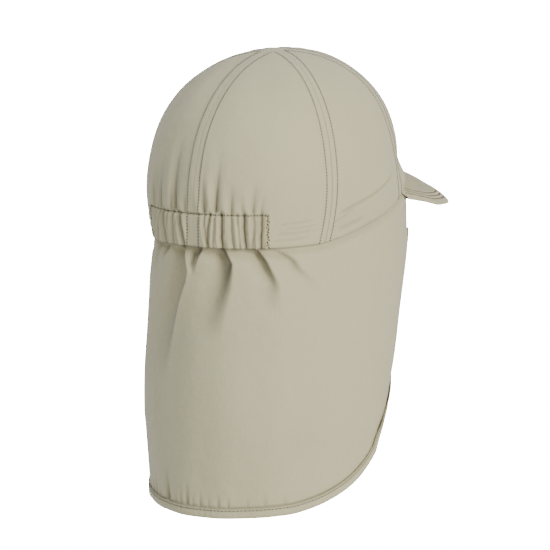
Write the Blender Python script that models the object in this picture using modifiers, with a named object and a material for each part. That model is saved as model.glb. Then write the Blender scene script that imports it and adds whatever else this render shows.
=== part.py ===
"""A sun cap with a neck flap: six crown panels gathered by elastic at the back of the rim,
a sweatband, an arched peak, and a flap with a bound edge that hangs from temple to temple.

Metres, +Z up, the peak towards -Y and the wearer's right towards -X. The origin is the
middle of the head opening, at the height of the rim's back.

A turn is an angle in degrees round the head: 0 at the centre back, 90 at the side and 180
at the centre front, positive towards the wearer's right.
"""

import math
from collections import namedtuple

import bmesh
import bpy
from mathutils import Vector

# Cloth walls and the clearances between the pieces
CROWN_WALL = 0.0012
FLAP_WALL = 0.0010
BAND_WALL = 0.0012
PEAK_WALL = 0.0024
BINDING_WALL = 0.0010
LAYER_GAP = 0.0005
SEAM_GAP = 0.0004
BINDING_GAP = 0.0007

# Head opening, drawn as two half ellipses that meet at the sides
RIM_BACK_REACH = 0.0982
RIM_FRONT_REACH = 0.1137
RIM_BACK_HALF_WIDTH = 0.0733
RIM_TEMPLE_HALF_WIDTH = 0.0780
RIM_RISE = 0.0360

# Crown
CROWN_HALF_LENGTH = 0.1000
CROWN_HALF_WIDTH = 0.0822
CROWN_HEIGHT = 0.1225
CROWN_LEAN = 0.0690
CROWN_UPRIGHT = 3.1
CROWN_ROUND = 2.13
DRAW_IN_HEIGHT = 0.0500
FLARE_HEIGHT = 0.0220
TIP_RADIUS = 0.0015
SEAM_BEARINGS = (0, 60, 120, 180)

# Elastic casing at the back of the rim
CASING_HEIGHT = 0.0230
CASING_HALF_TURN = 36.0
CASING_PLEATS = 15
PLEAT_DEPTH = 0.0016
PLEAT_FADE = 0.0300
GROOVE_DEPTH = 0.0010
GROOVE_REACH = 0.0040

# Sweatband
BAND_HEIGHT = 0.0250
BAND_ABOVE_RIM = 0.0010

# Peak
PEAK_HALF_WIDTH = 0.0700
PEAK_LENGTH = 0.0600
PEAK_END_TURN = 119.0
PEAK_SEAM_OFFSET = 0.0006
PEAK_CROWN = 0.0022

# Neck flap and its binding
FLAP_DROP = 0.1820
FLAP_HALF_WIDTH = 0.0820
FLAP_BACK_REACH = 0.1000
FLAP_FRONT_REACH = 0.1150
FLAP_TUCK = 0.0060
FLAP_FLARE_DROP = 0.0140
BINDING_WIDTH = 0.0065

# Counts of grid steps
CASING_STEPS = CASING_PLEATS
PLAIN_BACK_STEPS = 5
PANEL_STEPS = 8
BAND_FRONT_STEPS = 18
FLAP_SIDE_STEPS = 24
PEAK_STEPS = 20
PEAK_ROWS = 5

# The rim's height round the head, as a share of RIM_RISE
RimRow = namedtuple("RimRow", "turn rise")
RIM_ROWS = (
    RimRow(0, 0.0),
    RimRow(62, 0.01),
    RimRow(79, 0.15),
    RimRow(90, 0.25),
    RimRow(106, 0.45),
    RimRow(120, 0.68),
    RimRow(133, 0.85),
    RimRow(150, 0.94),
    RimRow(180, 1.0),
)

# Levels of the crown's rows between the rim (0) and the apex (1)
BACK_LEVELS = (0.0, 0.06, 0.122, 0.155, 0.188, 0.22, 0.28, 0.375)
SIDE_LEVELS = (0.0, 0.07, 0.17, 0.28, 0.40)
DOME_ANGLES = (26, 38, 50, 61, 71, 80, 86)

# Folds that run up or down from the casing: where each starts and ends, how far it runs
# as a share of CROWN_HEIGHT or FLAP_DROP, its half width in degrees and its depth in pleats
FoldRow = namedtuple("FoldRow", "start_turn end_turn run half_width pleats")
CROWN_FOLDS = (
    FoldRow(-30, -28, 0.40, 3.0, 0.8),
    FoldRow(-12, -12, 0.62, 3.2, 1.1),
    FoldRow(5, 5, 0.38, 3.0, 0.7),
    FoldRow(12, 11, 0.58, 3.4, 0.8),
    FoldRow(19, 19, 0.42, 3.0, 0.7),
    FoldRow(30, 31, 0.38, 3.0, 0.7),
)
FLAP_FOLDS = (
    FoldRow(-43, -58, 0.14, 6.0, 1.6),
    FoldRow(-32, -38, 0.20, 5.0, 2.5),
    FoldRow(-20, -24, 0.11, 4.0, 1.6),
    FoldRow(-7, -18, 0.36, 6.0, 3.0),
    FoldRow(1, 0, 0.09, 3.5, 1.8),
    FoldRow(15, 13, 0.25, 5.0, 2.5),
    FoldRow(32, 40, 0.20, 5.0, 2.5),
    FoldRow(43, 58, 0.14, 6.0, 1.6),
)

# The flap's level sections: how far down, then shares of the flap's widths and reaches
SectionRow = namedtuple("SectionRow", "drop back_width front_width back_reach front_reach")
FLAP_SECTIONS = (
    SectionRow(-0.20, 0.90, 0.97, 0.975, 0.99),
    SectionRow(0.00, 0.905, 0.97, 0.975, 1.00),
    SectionRow(0.10, 0.925, 0.985, 0.97, 1.00),
    SectionRow(0.36, 0.976, 0.99, 0.975, 0.84),
    SectionRow(0.51, 1.00, 1.00, 0.995, 0.70),
    SectionRow(0.66, 1.00, 1.00, 1.00, 0.54),
    SectionRow(0.73, 0.99, 0.99, 0.995, 0.43),
    SectionRow(1.00, 0.955, 0.955, 0.97, 0.40),
)

# The flap's free edge from the end of the casing (0) to the temple (1): the turn where its
# column leaves the rim, the turn where it meets the edge, and the edge's drop
EdgeRow = namedtuple("EdgeRow", "across rim_turn edge_turn drop")
EDGE_ROWS = (
    EdgeRow(0.00, 36, 36, 0.990),
    EdgeRow(0.10, 50, 50, 0.980),
    EdgeRow(0.25, 69, 71, 0.925),
    EdgeRow(0.36, 80, 85, 0.842),
    EdgeRow(0.45, 88, 95, 0.760),
    EdgeRow(0.54, 95, 105, 0.694),
    EdgeRow(0.63, 102, 117, 0.612),
    EdgeRow(0.71, 108, 127, 0.530),
    EdgeRow(0.79, 114, 134, 0.425),
    EdgeRow(0.86, 119, 138, 0.290),
    EdgeRow(0.93, 124, 139, 0.140),
    EdgeRow(1.00, 128, 137, 0.000),
)
EDGE_LIFT_AT_CASING = 0.010
FLAP_LEVELS = (0.0, 0.032, 0.07, 0.12, 0.18, 0.26, 0.37, 0.52, 0.70, 0.86, 0.95, 1.0)

# The peak's edge from its end (0) to its centre (1): shares of PEAK_HALF_WIDTH, of the
# reach to the peak's front and of RIM_RISE; the last row is the far side, which keeps the
# edge smooth across the centre
PeakRow = namedtuple("PeakRow", "along half_width forward height")
PEAK_EDGE_ROWS = (
    PeakRow(0.00, 1.007, 0.337, 0.578),
    PeakRow(0.07, 0.997, 0.415, 0.511),
    PeakRow(0.14, 0.999, 0.518, 0.411),
    PeakRow(0.24, 0.980, 0.616, 0.311),
    PeakRow(0.45, 0.840, 0.786, 0.247),
    PeakRow(0.71, 0.486, 0.937, 0.272),
    PeakRow(1.00, 0.000, 1.000, 0.361),
    PeakRow(1.29, -0.486, 0.937, 0.272),
)

# Finishes read from the real cap: sRGB colour and roughness
SHELL_COLOUR = (0.74, 0.725, 0.645)
LINING_COLOUR = (0.66, 0.645, 0.565)
CLOTH_ROUGHNESS = 0.85


def smooth(share):
    """An eased step from 0 to 1."""
    share = min(1.0, max(0.0, share))
    return share * share * (3.0 - 2.0 * share)


def mix(first, second, share):
    return first + (second - first) * share


def read(rows, at, column):
    """A column of a table at a value of its first column, on a smooth curve through its rows."""
    last = len(rows) - 2
    index = sum(row[0] <= at for row in rows[1:-1])
    index = min(index, last)

    def slope(k):
        low, high = rows[max(k - 1, 0)], rows[min(k + 1, len(rows) - 1)]
        return (getattr(high, column) - getattr(low, column)) / (high[0] - low[0])

    low, high = rows[index], rows[index + 1]
    step = high[0] - low[0]
    t = min(1.0, max(0.0, (at - low[0]) / step))
    start, end = getattr(low, column), getattr(high, column)
    bend = step * (slope(index) * (1 - t) - slope(index + 1) * t)
    return mix(start, end, smooth(t)) + bend * t * (1 - t)


def rim_height(turn):
    return RIM_RISE * read(RIM_ROWS, abs(turn), "rise")


def plan(turn, half_width, back_reach, front_reach):
    """A point of a head-shaped ring, seen from above."""
    angle = math.radians(turn)
    reach = back_reach if math.cos(angle) > 0 else front_reach
    return Vector((-half_width * math.sin(angle), reach * math.cos(angle), 0.0))


def side_share(turn):
    """0 over the back of the head and 1 at the temples and the front."""
    return smooth((abs(turn) - 60.0) / 60.0)


def crown_point(turn, level):
    """The crown's outer face before it is gathered, level running from the rim to the apex."""
    low = rim_height(turn)
    height = mix(low, CROWN_HEIGHT, level)
    share = max(0.0, height / CROWN_HEIGHT)
    narrowing = (1.0 - share**CROWN_UPRIGHT) ** (1.0 / CROWN_ROUND)
    body = plan(turn, CROWN_HALF_WIDTH, CROWN_HALF_LENGTH, CROWN_HALF_LENGTH) * narrowing
    body.z = height - CROWN_LEAN * body.y * share
    rim_width = mix(RIM_BACK_HALF_WIDTH, RIM_TEMPLE_HALF_WIDTH, side_share(turn))
    rim = plan(turn, rim_width, RIM_BACK_REACH, RIM_FRONT_REACH)
    rim.z = height
    reach = mix(DRAW_IN_HEIGHT, FLARE_HEIGHT, side_share(turn))
    drawn = max(0.0, 1.0 - (height - low) / reach) ** 2
    return body.lerp(rim, drawn)


def fold_depth(folds, turn, run):
    """How far the folds of a table press the cloth in, at a turn and a share of their run."""
    depth = 0.0
    for fold in folds:
        along = run / fold.run
        centre = mix(fold.start_turn, fold.end_turn, min(1.0, along))
        beside = (turn - centre) / (fold.half_width * (1.0 + 0.6 * along))
        depth += fold.pleats * PLEAT_DEPTH * (1.0 - smooth(along)) * math.exp(-2.0 * beside**2)
    return depth


def pleat_wave(turn):
    """0 on a pleat's ridge and 1 in its valley, flat at the seam and at the elastic's ends."""
    pitch = 2.0 * CASING_HALF_TURN / CASING_PLEATS
    fade = smooth((CASING_HALF_TURN - abs(turn)) / pitch) * smooth(abs(turn) / pitch - 0.5)
    return fade * (0.5 - 0.5 * math.cos(2.0 * math.pi * turn / pitch))


def gathering(turn, above_rim):
    """How far the elastic and its top stitching pull the crown in."""
    if abs(turn) > CASING_HALF_TURN + 12.0:
        return 0.0
    over = max(0.0, above_rim - CASING_HEIGHT)
    pleats = PLEAT_DEPTH * pleat_wave(turn) * max(0.0, 1.0 - over / PLEAT_FADE) ** 2
    near = max(0.0, 1.0 - abs(above_rim - CASING_HEIGHT) / GROOVE_REACH)
    groove = GROOVE_DEPTH * near * (abs(turn) <= CASING_HALF_TURN)
    folds = 0.0
    if over > 0.0:
        folds = fold_depth(CROWN_FOLDS, turn, over / CROWN_HEIGHT) * smooth(over / GROOVE_REACH)
    return pleats + groove + folds


def crown_layer(turn, level, depth):
    """A point at a depth below the crown's outer face, with the gathers of the elastic."""
    step = 0.5
    nudge = 0.002 if level < 0.9 else -0.00002
    point = crown_point(turn, level)
    along = crown_point(turn + step, level) - crown_point(turn - step, level)
    up = (crown_point(turn, level + nudge) - point) * math.copysign(1.0, nudge)
    outward = along.cross(up).normalized()
    above_rim = level * (CROWN_HEIGHT - rim_height(turn))
    return point - outward * (depth + gathering(turn, above_rim))


def flap_point(turn, height):
    """The flap's outer face at a turn and a height, hanging below the rim."""
    drop = -height / FLAP_DROP
    width = FLAP_HALF_WIDTH * mix(
        read(FLAP_SECTIONS, drop, "back_width"),
        read(FLAP_SECTIONS, drop, "front_width"),
        side_share(turn),
    )
    hung = plan(
        turn,
        width,
        FLAP_BACK_REACH * read(FLAP_SECTIONS, drop, "back_reach"),
        FLAP_FRONT_REACH * read(FLAP_SECTIONS, drop, "front_reach"),
    )
    below = rim_height(turn) - height
    level = max(0.0, -below) / (CROWN_HEIGHT - rim_height(turn))
    sewn = crown_layer(turn, level, CROWN_WALL + LAYER_GAP)
    sewn.z = 0.0
    clear_of_peak = PEAK_WALL + 2.0 * LAYER_GAP
    point = sewn.lerp(hung, smooth((below - clear_of_peak) / FLAP_FLARE_DROP))
    inward = Vector((point.x, point.y, 0.0)).normalized()
    if below > 0.0:
        share = below / FLAP_DROP
        point -= inward * fold_depth(FLAP_FOLDS, turn, share) * smooth(below / FLAP_FLARE_DROP)
    point.z = height
    return point


def casing_turn(step):
    return CASING_HALF_TURN * step / CASING_STEPS


def flap_column(index):
    """(rim turn, edge turn, edge height) of a column, index 0 being the centre back."""
    side = math.copysign(1.0, index)
    index = abs(index)
    if index <= CASING_STEPS:
        turn = casing_turn(index)
        drop = 1.0 - EDGE_LIFT_AT_CASING * (turn / CASING_HALF_TURN) ** 2
        return side * turn, side * turn, -FLAP_DROP * drop
    across = (index - CASING_STEPS) / FLAP_SIDE_STEPS
    rim_turn, edge_turn = (read(EDGE_ROWS, across, name) for name in ("rim_turn", "edge_turn"))
    return side * rim_turn, side * edge_turn, -FLAP_DROP * read(EDGE_ROWS, across, "drop")


def flap_sheet(index, level):
    """A point of the flap, level running from its sewn edge to its free edge."""
    rim_turn, edge_turn, edge_height = flap_column(index)
    height = mix(rim_height(rim_turn) + FLAP_TUCK, edge_height, level)
    return flap_point(mix(rim_turn, edge_turn, level), height)


def peak_sheet(along, out):
    """The peak's upper face, along running 0 to 1 round it and out from its seam to its edge."""
    turn = mix(PEAK_END_TURN, 360.0 - PEAK_END_TURN, along)
    turn = turn if turn <= 180.0 else turn - 360.0
    root = crown_layer(turn, 0.0, -PEAK_SEAM_OFFSET)
    root.z = rim_height(turn) - CROWN_WALL - SEAM_GAP
    half = 1.0 - abs(1.0 - 2.0 * along)
    across, forward, height = (
        read(PEAK_EDGE_ROWS, half, name) for name in ("half_width", "forward", "height")
    )
    edge = Vector((
        math.copysign(PEAK_HALF_WIDTH * across, along - 0.5),
        -(RIM_FRONT_REACH + PEAK_LENGTH) * forward,
        RIM_RISE * height,
    ))
    point = root.lerp(edge, out)
    point.z += PEAK_CROWN * 4.0 * out * (1.0 - out) * math.sin(math.pi * along)
    return point


def linear(colour):
    """sRGB shares as the linear values that a shader takes."""
    return tuple(
        share / 12.92 if share <= 0.04045 else ((share + 0.055) / 1.055) ** 2.4
        for share in colour
    )


def cloth(name, colour):
    material = bpy.data.materials.new(name)
    material.use_nodes = True
    shader = material.node_tree.nodes["Principled BSDF"]
    shader.inputs["Base Color"].default_value = (*linear(colour), 1.0)
    shader.inputs["Roughness"].default_value = CLOTH_ROUGHNESS
    shader.inputs["Metallic"].default_value = 0.0
    return material


def add_object(name, mesh, material, parts, holder):
    mesh.materials.append(material)
    mesh.shade_smooth()
    mesh.set_sharp_from_angle(angle=math.radians(50.0))
    piece = bpy.data.objects.new(name, mesh)
    parts.objects.link(piece)
    piece.parent = holder
    return piece


def sheet_mesh(name, columns, rows, place, closed=False):
    """A grid bent so that its point (column, row) lies at place(column, row)."""
    mesh = bpy.data.meshes.new(name)
    grid = bmesh.new()
    bmesh.ops.create_grid(grid, x_segments=columns, y_segments=rows, size=0.5)
    for vertex in grid.verts:
        column = round((vertex.co.x + 0.5) * columns)
        row = round((vertex.co.y + 0.5) * rows)
        vertex.co = place(column, row)
    if closed:
        bmesh.ops.remove_doubles(grid, verts=grid.verts, dist=1e-6)
    grid.to_mesh(mesh)
    grid.free()
    return mesh


def thicken(piece, wall):
    """Gives a sheet its wall on the side that its faces point away from."""
    solidify = piece.modifiers.new("wall", "SOLIDIFY")
    solidify.thickness = wall
    solidify.offset = -1.0
    solidify.use_even_offset = True
    solidify.use_quality_normals = True


def seam_turn(bearing):
    """The turn at which a seam stands, from its plain compass angle seen from above."""
    angle = math.radians(bearing)
    across = math.sin(angle) / CROWN_HALF_WIDTH
    return math.degrees(math.atan2(across, math.cos(angle) / CROWN_HALF_LENGTH))


def dome_levels(levels):
    """The rows of a panel: those near the rim, then those that close over the dome."""
    radius = math.degrees(TIP_RADIUS / CROWN_HALF_WIDTH)
    angles = [*DOME_ANGLES, 90.0 - radius]
    return [*levels, *(math.sin(math.radians(a)) ** (2.0 / CROWN_UPRIGHT) for a in angles)]


def add_panel(name, turns, levels, material, parts, holder):
    """One crown panel between its two seams; its columns' turns fall from one to the other."""
    heights = dome_levels(levels)
    first, last = turns[0], turns[-1]

    def place(column, row):
        level = heights[row]
        middle = crown_point((first + last) / 2.0, level)
        radius = max(Vector((middle.x, middle.y)).length, TIP_RADIUS)
        margin = math.degrees(SEAM_GAP / 2.0 / radius)
        share = (turns[column] - first) / (last - first)
        turn = mix(first - margin, last + margin, share)
        return crown_layer(turn, level, 0.0)

    mesh = sheet_mesh(name, len(turns) - 1, len(heights) - 1, place)
    piece = add_object(name, mesh, material, parts, holder)
    thicken(piece, CROWN_WALL)


def add_crown(material, parts, holder):
    seams = [seam_turn(bearing) for bearing in SEAM_BEARINGS]
    casing = [casing_turn(step) for step in range(CASING_STEPS + 1)]
    plain = [
        mix(CASING_HALF_TURN, seams[1], (step + 1) / PLAIN_BACK_STEPS)
        for step in range(PLAIN_BACK_STEPS)
    ]
    back = casing + plain
    side = [mix(seams[1], seams[2], step / PANEL_STEPS) for step in range(PANEL_STEPS + 1)]
    front = [mix(seams[2], seams[3], step / PANEL_STEPS) for step in range(PANEL_STEPS + 1)]
    for place, turns, levels in (
        ("back", back, BACK_LEVELS),
        ("side", side, SIDE_LEVELS),
        ("front", front, SIDE_LEVELS),
    ):
        add_panel(f"crown_panel_{place}_right", turns[::-1], levels, material, parts, holder)
        mirrored = [-turn for turn in turns]
        add_panel(f"crown_panel_{place}_left", mirrored, levels, material, parts, holder)


def add_sweatband(material, parts, holder):
    casing = [casing_turn(step) for step in range(-CASING_STEPS, CASING_STEPS + 1)]
    sweep = 360.0 - 2.0 * CASING_HALF_TURN
    plain = [
        CASING_HALF_TURN + sweep * (step + 1) / BAND_FRONT_STEPS
        for step in range(BAND_FRONT_STEPS)
    ]
    turns = [turn if turn <= 180.0 else turn - 360.0 for turn in casing + plain][::-1]
    depth = CROWN_WALL + LAYER_GAP + FLAP_WALL + LAYER_GAP

    def place(column, row):
        turn = turns[column]
        above = mix(BAND_ABOVE_RIM, BAND_HEIGHT, row / 2.0)
        return crown_layer(turn, above / (CROWN_HEIGHT - rim_height(turn)), depth)

    mesh = sheet_mesh("sweatband", len(turns) - 1, 2, place, closed=True)
    thicken(add_object("sweatband", mesh, material, parts, holder), BAND_WALL)


def add_flap(material, parts, holder):
    reach = CASING_STEPS + FLAP_SIDE_STEPS

    def place(column, row):
        return flap_sheet(reach - column, FLAP_LEVELS[-1 - row])

    mesh = sheet_mesh("neck_flap", 2 * reach, len(FLAP_LEVELS) - 1, place)
    thicken(add_object("neck_flap", mesh, material, parts, holder), FLAP_WALL)


def add_binding(material, parts, holder):
    """A channel folded over the flap's free edge, swept along it to just short of its ends."""
    reach = CASING_STEPS + FLAP_SIDE_STEPS
    outer = BINDING_GAP + BINDING_WALL
    leg = BINDING_WIDTH - outer
    profile = (
        (leg, outer),
        (-outer, outer),
        (-outer, -FLAP_WALL - outer),
        (leg, -FLAP_WALL - outer),
        (leg, -FLAP_WALL - BINDING_GAP),
        (-BINDING_GAP, -FLAP_WALL - BINDING_GAP),
        (-BINDING_GAP, BINDING_GAP),
        (leg, BINDING_GAP),
    )
    tube = bmesh.new()
    rings = []
    for index in range(1 - reach, reach):
        edge = flap_sheet(index, 1.0)
        along = flap_sheet(index + 1, 1.0) - flap_sheet(index - 1, 1.0)
        along.normalize()
        inward = flap_sheet(index, FLAP_LEVELS[-2]) - edge
        inward = (inward - along * inward.dot(along)).normalized()
        outward = inward.cross(along)
        ring = [tube.verts.new(edge + inward * i + outward * n) for i, n in profile]
        rings.append(ring)
    size = len(profile)
    for ring, following in zip(rings, rings[1:]):
        for k in range(size):
            following_k = (k + 1) % size
            tube.faces.new((ring[k], ring[following_k], following[following_k], following[k]))
    for ring in (rings[0], rings[-1]):
        outer_wall = (ring[0], ring[1], ring[6], ring[7])
        base_wall = (ring[1], ring[2], ring[5], ring[6])
        inner_wall = (ring[2], ring[3], ring[4], ring[5])
        for wall in (outer_wall, base_wall, inner_wall):
            tube.faces.new(wall)
    bmesh.ops.recalc_face_normals(tube, faces=tube.faces)
    mesh = bpy.data.meshes.new("flap_binding")
    tube.to_mesh(mesh)
    tube.free()
    add_object("flap_binding", mesh, material, parts, holder)


def add_peak(material, parts, holder):
    def place(column, row):
        return peak_sheet(column / PEAK_STEPS, row / PEAK_ROWS)

    mesh = sheet_mesh("peak", PEAK_STEPS, PEAK_ROWS, place)
    thicken(add_object("peak", mesh, material, parts, holder), PEAK_WALL)


def main():
    for old in list(bpy.data.objects):
        bpy.data.objects.remove(old, do_unlink=True)
    parts = bpy.data.collections.new("neck_flap_cap")
    bpy.context.scene.collection.children.link(parts)
    holder = bpy.data.objects.new("cap_origin", None)
    parts.objects.link(holder)
    add_crown(cloth("crown cloth", SHELL_COLOUR), parts, holder)
    add_sweatband(cloth("sweatband cloth", LINING_COLOUR), parts, holder)
    add_peak(cloth("peak cloth", SHELL_COLOUR), parts, holder)
    add_flap(cloth("flap cloth", SHELL_COLOUR), parts, holder)
    add_binding(cloth("binding tape", SHELL_COLOUR), parts, holder)


main()
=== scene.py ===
"""The looks of a sun cap with a neck flap: cloth, seams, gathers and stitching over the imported
model. Metres, +Z up, the peak towards -Y and the wearer's right towards -X.

A turn is an angle in degrees round the head: 0 at the centre back, 90 at the side and 180 at
the centre front, positive towards the wearer's right.
"""
import math

import bpy
import numpy as np
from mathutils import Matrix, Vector


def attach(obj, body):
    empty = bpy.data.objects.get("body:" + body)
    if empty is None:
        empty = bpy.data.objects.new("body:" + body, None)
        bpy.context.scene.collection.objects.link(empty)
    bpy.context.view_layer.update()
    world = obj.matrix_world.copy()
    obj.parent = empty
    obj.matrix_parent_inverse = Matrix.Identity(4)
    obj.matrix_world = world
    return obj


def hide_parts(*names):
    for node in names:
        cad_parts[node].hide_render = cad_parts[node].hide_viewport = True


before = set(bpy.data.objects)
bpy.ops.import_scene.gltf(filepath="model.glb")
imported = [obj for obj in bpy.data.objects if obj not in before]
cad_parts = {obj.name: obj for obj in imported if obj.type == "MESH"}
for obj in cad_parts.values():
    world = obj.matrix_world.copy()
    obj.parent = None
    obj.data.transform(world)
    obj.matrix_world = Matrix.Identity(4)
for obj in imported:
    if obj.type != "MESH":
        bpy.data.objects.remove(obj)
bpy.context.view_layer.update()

# The crown is six shaped panels of thin plain-woven nylon, joined up to the top by flat
# seams with a row of topstitching on each side. The two back panels end in a casing that
# wide elastic gathers. The hem of the crown is turned in against the sweatband.

RIM_BACK_REACH = 0.0982
RIM_FRONT_REACH = 0.1137
RIM_BACK_HALF_WIDTH = 0.0733
RIM_TEMPLE_HALF_WIDTH = 0.0780
RIM_RISE = 0.0360
RIM = {
    "turn": (0, 62, 79, 90, 106, 120, 133, 150, 180),
    "rise": (0.0, 0.01, 0.15, 0.25, 0.45, 0.68, 0.85, 0.94, 1.0),
}

CROWN_HALF_LENGTH = 0.1000
CROWN_HALF_WIDTH = 0.0822
CROWN_HEIGHT = 0.1225
CROWN_LEAN = 0.0690
CROWN_UPRIGHT = 3.1
CROWN_ROUND = 2.13
DRAW_IN_HEIGHT = 0.0500
FLARE_HEIGHT = 0.0220
CROWN_CLOTH = 0.0006

SEAM_BEARINGS = (0, 60, 120, 180)
SEAM_STITCH_OFFSET = 0.0044
CASING_HEIGHT = 0.0225
CASING_END_TURN = 37.0

# Pleats that the elastic draws into the casing, from its top stitching to its lower edge
PLEATS = {
    "top_turn": (-34.5, -31, -27, -23.2, -20.5, -16.8, -12.6, -10.0, -8.3, 6.3, 8.8, 11.5,
                 14.5, 17.5, 19.2, 22.2, 25.2, 27.7, 29.9, 31.3, 33.0, 35.3),
    "low_turn": (-35, -33, -31, -27, -18.9, -16, -12.9, -10.4, -5.9, 7.9, 8.7, 11.3,
                 16.3, 18.0, 21.5, 24.7, 27.3, 29.0, 30.3, 33.6, 34.7, 36.0),
    "half_width": (0.9, 0.8, 0.9, 0.9, 1.1, 0.7, 0.9, 0.6, 0.9, 0.7, 0.7, 0.6,
                   0.8, 0.6, 0.8, 0.7, 0.8, 0.6, 0.8, 0.6, 0.8, 0.6),
    "depth_mm": (1.5, 1.0, 1.3, 1.4, 2.2, 0.9, 1.6, 1.0, 2.3, 1.4, 2.1, 1.0,
                 2.7, 0.8, 1.7, 1.0, 2.7, 0.6, 1.4, 1.0, 2.5, 0.8),
}

# Folds that the casing's top stitching sends up into the back panels
CROWN_FOLDS = {
    "low_turn": (-31, -28, -23.3, -14.3, -11.4, -5.0, 6.1, 11.4, 12.8, 19.3, 24.4, 29.2, 32.7),
    "top_turn": (-30, -27, -23.0, -14.0, -12.6, -5.0, 4.4, 12.8, 9.4, 18.8, 24.0, 29.6, 33.8),
    "run_mm": (34, 36, 42, 26, 60, 18, 30, 52, 34, 28, 16, 26, 18),
    "half_width": (1.1, 1.1, 1.1, 0.9, 1.3, 0.8, 1.1, 1.2, 0.9, 1.1, 0.9, 1.1, 0.9),
    "depth_mm": (2.0, 2.1, 2.6, 1.8, 3.2, 1.4, 2.2, 2.4, 1.6, 1.7, 1.0, 1.6, 1.0),
}

# Shallow creases where the crown's cloth lies over the sweatband and the hem
CREASES = {
    "start_turn": (67.5, 66.5, 70, 40, 41, 39, 44),
    "end_turn": (113, 80, 88, 62, 60, 58, 61),
    "start_mm": (17.5, 12.0, 6.0, 9.0, 15.5, 4.5, 12.5),
    "end_mm": (25.5, 19.0, 7.5, 10.5, 17.5, 5.5, 14.0),
    "half_width_mm": (1.1, 0.9, 1.8, 1.0, 1.1, 1.0, 0.9),
    "depth_mm": (0.55, 0.40, 0.40, 0.22, 0.22, 0.20, 0.18),
}


def eased(share):
    """A soft step from 0 to 1."""
    share = np.clip(share, 0.0, 1.0)
    return share * share * (3.0 - 2.0 * share)


def between(first, second, share):
    return first + (second - first) * share


def read(table, column, at):
    """A column of a table along a smooth curve through its rows."""
    places = np.array(next(iter(table.values())), float)
    values = np.array(table[column], float)
    slopes = np.gradient(values)
    slopes[1:-1] = (values[2:] - values[:-2]) / (places[2:] - places[:-2])
    slopes[0] = (values[1] - values[0]) / (places[1] - places[0])
    slopes[-1] = (values[-1] - values[-2]) / (places[-1] - places[-2])
    row = np.clip(np.searchsorted(places, at, side="right") - 1, 0, len(places) - 2)
    step = places[row + 1] - places[row]
    share = np.clip((at - places[row]) / step, 0.0, 1.0)
    bend = step * (slopes[row] * (1.0 - share) - slopes[row + 1] * share)
    return between(values[row], values[row + 1], eased(share)) + bend * share * (1.0 - share)


def rim_height(turn):
    return RIM_RISE * read(RIM, "rise", np.abs(turn))


def plan(turn, half_width, back_reach, front_reach):
    """Points of a head-shaped ring, seen from above."""
    angle = np.radians(turn)
    reach = np.where(np.cos(angle) > 0, back_reach, front_reach)
    return np.stack((-half_width * np.sin(angle), reach * np.cos(angle), 0 * angle), -1)


def side_share(turn):
    """0 over the back of the head and 1 at the temples and the front."""
    return eased((np.abs(turn) - 60.0) / 60.0)


def crown_form(turn, level):
    """The crown's smooth form, level running from the rim to the apex."""
    turn, level = np.broadcast_arrays(np.asarray(turn, float), np.asarray(level, float))
    low = rim_height(turn)
    height = between(low, CROWN_HEIGHT, level)
    share = np.clip(height / CROWN_HEIGHT, 0.0, 1.0)
    narrowing = (1.0 - share**CROWN_UPRIGHT) ** (1.0 / CROWN_ROUND)
    body = plan(turn, CROWN_HALF_WIDTH, CROWN_HALF_LENGTH, CROWN_HALF_LENGTH)
    body *= narrowing[..., None]
    body[..., 2] = height - CROWN_LEAN * body[..., 1] * share
    rim_width = between(RIM_BACK_HALF_WIDTH, RIM_TEMPLE_HALF_WIDTH, side_share(turn))
    rim = plan(turn, rim_width, RIM_BACK_REACH, RIM_FRONT_REACH)
    rim[..., 2] = height
    reach = between(DRAW_IN_HEIGHT, FLARE_HEIGHT, side_share(turn))
    drawn = np.maximum(0.0, 1.0 - (height - low) / reach) ** 2
    return between(body, rim, drawn[..., None])


def ripple(turn, height, pitch_turn, pitch_height, seed):
    """Soft uneven waves between -1 and 1, for cloth that is never quite smooth."""
    chance = np.random.default_rng(seed)
    total = 0.0
    for _ in range(7):
        across, up, phase = chance.uniform(0.5, 1.4), chance.uniform(-1.2, 1.2), chance.uniform(0, 6.3)
        total = total + np.sin(6.283 * (across * turn / pitch_turn + up * height / pitch_height) + phase)
    return total / 4.0


def pressed(at, centre, half_width):
    return np.exp(-(((at - centre) / half_width) ** 2))


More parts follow.
